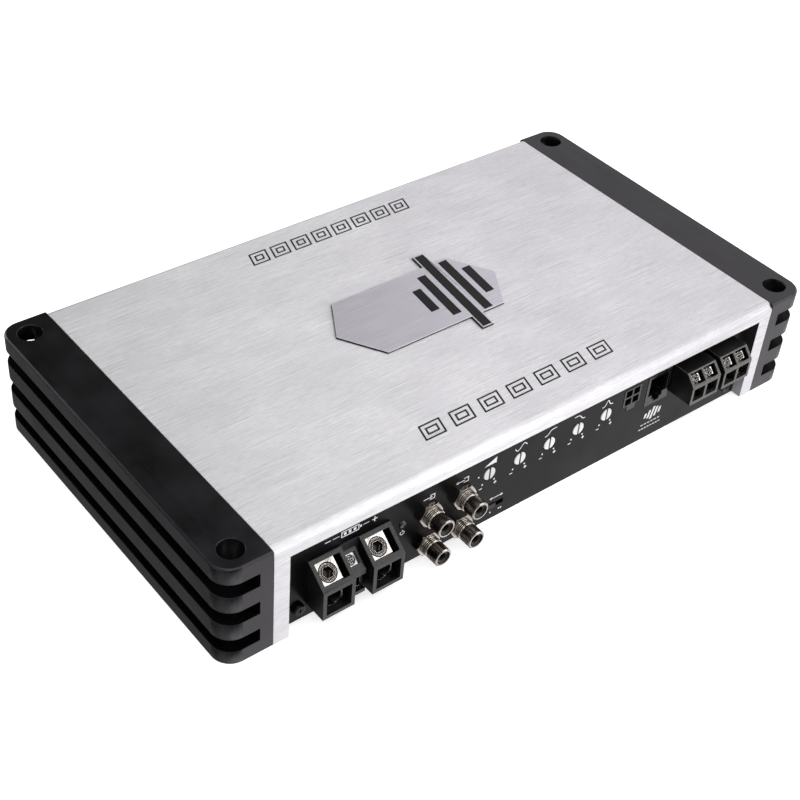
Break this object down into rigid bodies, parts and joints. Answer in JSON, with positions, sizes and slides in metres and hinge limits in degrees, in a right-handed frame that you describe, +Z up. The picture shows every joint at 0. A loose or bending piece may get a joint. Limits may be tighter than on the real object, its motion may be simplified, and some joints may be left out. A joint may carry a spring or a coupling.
{
  "type": "car amplifier",
  "caption": "Flat car audio amplifier with a brushed silver top, black finned end caps and a recessed front panel of screw terminals, phono jacks and trimmers.",
  "frame": {"origin": "on the base plane, midway between the four mounting holes", "axes": "+X along the front from left to right, -Y out of the terminal panel, +Z up"},
  "size_m": [0.312, 0.1774, 0.051],
  "materials": {
    "silver_aluminium": "brushed along the length, clear anodised",
    "black_anodised": "satin black powder coat",
    "black_steel": "satin black",
    "panel_black": "satin black with white print",
    "black_fastener": "black oxide",
    "badge_metal": "fine satin",
    "badge_black": "gloss enamel",
    "circuit_board": "solder mask",
    "steel": "zinc plated",
    "ferrite": "sintered",
    "copper_wire": "enamelled copper",
    "capacitor_sleeve": "shrunk sleeve",
    "device_black": "moulded epoxy",
    "pad_grey": "silicone",
    "power_plastic": "moulded",
    "speaker_plastic": "moulded",
    "nickel": "nickel plated brass",
    "dark_nickel": "black nickel",
    "jack_black": "moulded",
    "trimmer_white": "moulded",
    "lamp_lens": "smoked clear",
    "gold_contact": "gold flash"
  },
  "bodies": {
    "root": {"heatsink_shell": "silver_aluminium", "left_end_cap": "black_anodised", "right_end_cap": "black_anodised", "bottom_plate": "black_steel", "terminal_panel": "panel_black", "cap_screws": "black_fastener", "panel_screws": "black_fastener", "bottom_screws": "black_fastener", "badge_plate": "badge_metal", "badge_inlay": "badge_black", "main_board": "circuit_board", "control_board": "circuit_board", "board_standoffs": "steel", "board_screws": "steel", "transformer_core": "ferrite", "transformer_winding": "copper_wire", "input_capacitors": "capacitor_sleeve", "rail_capacitors": "capacitor_sleeve", "output_inductor_core": "ferrite", "output_inductor_coil": "copper_wire", "supply_transistors": "device_black", "output_transistors": "device_black", "thermal_pads": "pad_grey", "clamp_bars": "steel", "clamp_screws": "steel", "power_terminal_housing": "power_plastic", "power_clamps": "nickel", "remote_clamp": "nickel", "speaker_terminal_housings": "speaker_plastic", "speaker_clamps": "nickel", "rca_shells": "dark_nickel", "rca_nuts": "dark_nickel", "rca_insulators": "jack_black", "rca_contacts": "nickel", "trimmer_bodies": "device_black", "switch_body": "device_black", "status_led": "lamp_lens", "high_level_socket": "jack_black", "remote_jack": "jack_black", "socket_contacts": "gold_contact"},
    "remote_screw": {"remote_screw": "nickel"},
    "remote_pad": {"remote_pad": "nickel"},
    "switch_slider": {"switch_slider": "jack_black"},
    "power_screw_left": {"power_screw_left": "nickel"},
    "power_pad_left": {"power_pad_left": "nickel"},
    "power_screw_right": {"power_screw_right": "nickel"},
    "power_pad_right": {"power_pad_right": "nickel"},
    "speaker_screw_1": {"speaker_screw_1": "nickel"},
    "speaker_pad_1": {"speaker_pad_1": "nickel"},
    "speaker_screw_2": {"speaker_screw_2": "nickel"},
    "speaker_pad_2": {"speaker_pad_2": "nickel"},
    "speaker_screw_3": {"speaker_screw_3": "nickel"},
    "speaker_pad_3": {"speaker_pad_3": "nickel"},
    "speaker_screw_4": {"speaker_screw_4": "nickel"},
    "speaker_pad_4": {"speaker_pad_4": "nickel"},
    "level_trimmer": {"level_trimmer": "trimmer_white"},
    "phase_trimmer": {"phase_trimmer": "trimmer_white"},
    "subsonic_trimmer": {"subsonic_trimmer": "trimmer_white"},
    "low_pass_trimmer": {"low_pass_trimmer": "trimmer_white"},
    "bass_trimmer": {"bass_trimmer": "trimmer_white"}
  },
  "joints": [
    {"name": "power_pad_left_slide", "type": "slide", "parent": "root", "child": "power_pad_left", "axis": [0, -0.6283, 0.7779], "range_m": [-0.00625, 0.00125]},
    {"name": "power_screw_left_turn", "type": "hinge", "parent": "power_pad_left", "child": "power_screw_left", "pos_m": [-0.1096, -0.08486, 0.02463], "axis": [0, -0.6283, 0.7779], "range_deg": [-1801, 361]},
    {"name": "power_pad_right_slide", "type": "slide", "parent": "root", "child": "power_pad_right", "axis": [0, -0.6283, 0.7779], "range_m": [-0.00625, 0.00125]},
    {"name": "power_screw_right_turn", "type": "hinge", "parent": "power_pad_right", "child": "power_screw_right", "pos_m": [-0.0861, -0.08486, 0.02463], "axis": [0, -0.6283, 0.7779], "range_deg": [-1801, 361]},
    {"name": "remote_pad_slide", "type": "slide", "parent": "root", "child": "remote_pad", "axis": [0, -0.6259, 0.7799], "range_m": [-0.0042, 0.0007]},
    {"name": "remote_screw_turn", "type": "hinge", "parent": "remote_pad", "child": "remote_screw", "pos_m": [-0.0976, -0.0829, 0.02236], "axis": [0, -0.6259, 0.7799], "range_deg": [-2161, 361]},
    {"name": "speaker_pad_1_slide", "type": "slide", "parent": "root", "child": "speaker_pad_1", "axis": [0, -0.7359, 0.6771], "range_m": [-0.0042, 0.0007]},
    {"name": "speaker_screw_1_turn", "type": "hinge", "parent": "speaker_pad_1", "child": "speaker_screw_1", "pos_m": [0.08335, -0.08929, 0.03376], "axis": [0, -0.7359, 0.6771], "range_deg": [-2161, 361]},
    {"name": "speaker_pad_2_slide", "type": "slide", "parent": "root", "child": "speaker_pad_2", "axis": [0, -0.7359, 0.6771], "range_m": [-0.0042, 0.0007]},
    {"name": "speaker_screw_2_turn", "type": "hinge", "parent": "speaker_pad_2", "child": "speaker_screw_2", "pos_m": [0.09145, -0.08929, 0.03376], "axis": [0, -0.7359, 0.6771], "range_deg": [-2161, 361]},
    {"name": "speaker_pad_3_slide", "type": "slide", "parent": "root", "child": "speaker_pad_3", "axis": [0, -0.7359, 0.6771], "range_m": [-0.0042, 0.0007]},
    {"name": "speaker_screw_3_turn", "type": "hinge", "parent": "speaker_pad_3", "child": "speaker_screw_3", "pos_m": [0.10365, -0.08929, 0.03376], "axis": [0, -0.7359, 0.6771], "range_deg": [-2161, 361]},
    {"name": "speaker_pad_4_slide", "type": "slide", "parent": "root", "child": "speaker_pad_4", "axis": [0, -0.7359, 0.6771], "range_m": [-0.0042, 0.0007]},
    {"name": "speaker_screw_4_turn", "type": "hinge", "parent": "speaker_pad_4", "child": "speaker_screw_4", "pos_m": [0.11175, -0.08929, 0.03376], "axis": [0, -0.7359, 0.6771], "range_deg": [-2161, 361]},
    {"name": "level_trimmer_turn", "type": "hinge", "parent": "root", "child": "level_trimmer", "pos_m": [-0.026, -0.0804, 0.0275], "axis": [0, -1, 0], "range_deg": [-150, 150]},
    {"name": "phase_trimmer_turn", "type": "hinge", "parent": "root", "child": "phase_trimmer", "pos_m": [-0.0096, -0.0804, 0.0275], "axis": [0, -1, 0], "range_deg": [-150, 150]},
    {"name": "subsonic_trimmer_turn", "type": "hinge", "parent": "root", "child": "subsonic_trimmer", "pos_m": [0.0068, -0.0804, 0.0275], "axis": [0, -1, 0], "range_deg": [-150, 150]},
    {"name": "low_pass_trimmer_turn", "type": "hinge", "parent": "root", "child": "low_pass_trimmer", "pos_m": [0.0232, -0.0804, 0.0275], "axis": [0, -1, 0], "range_deg": [-150, 150]},
    {"name": "bass_trimmer_turn", "type": "hinge", "parent": "root", "child": "bass_trimmer", "pos_m": [0.0396, -0.0804, 0.0275], "axis": [0, -1, 0], "range_deg": [-150, 150]},
    {"name": "switch_slide", "type": "slide", "parent": "root", "child": "switch_slider", "axis": [1, 0, 0], "range_m": [0, 0.0044]}
  ],
  "couplings": [
    {"joint": "power_screw_left_turn", "follows": "power_pad_left_slide", "rad_per_m": 5026.5},
    {"joint": "power_screw_right_turn", "follows": "power_pad_right_slide", "rad_per_m": 5026.5},
    {"joint": "remote_screw_turn", "follows": "remote_pad_slide", "rad_per_m": 8976},
    {"joint": "speaker_screw_1_turn", "follows": "speaker_pad_1_slide", "rad_per_m": 8976},
    {"joint": "speaker_screw_2_turn", "follows": "speaker_pad_2_slide", "rad_per_m": 8976},
    {"joint": "speaker_screw_3_turn", "follows": "speaker_pad_3_slide", "rad_per_m": 8976},
    {"joint": "speaker_screw_4_turn", "follows": "speaker_pad_4_slide", "rad_per_m": 8976}
  ]
}
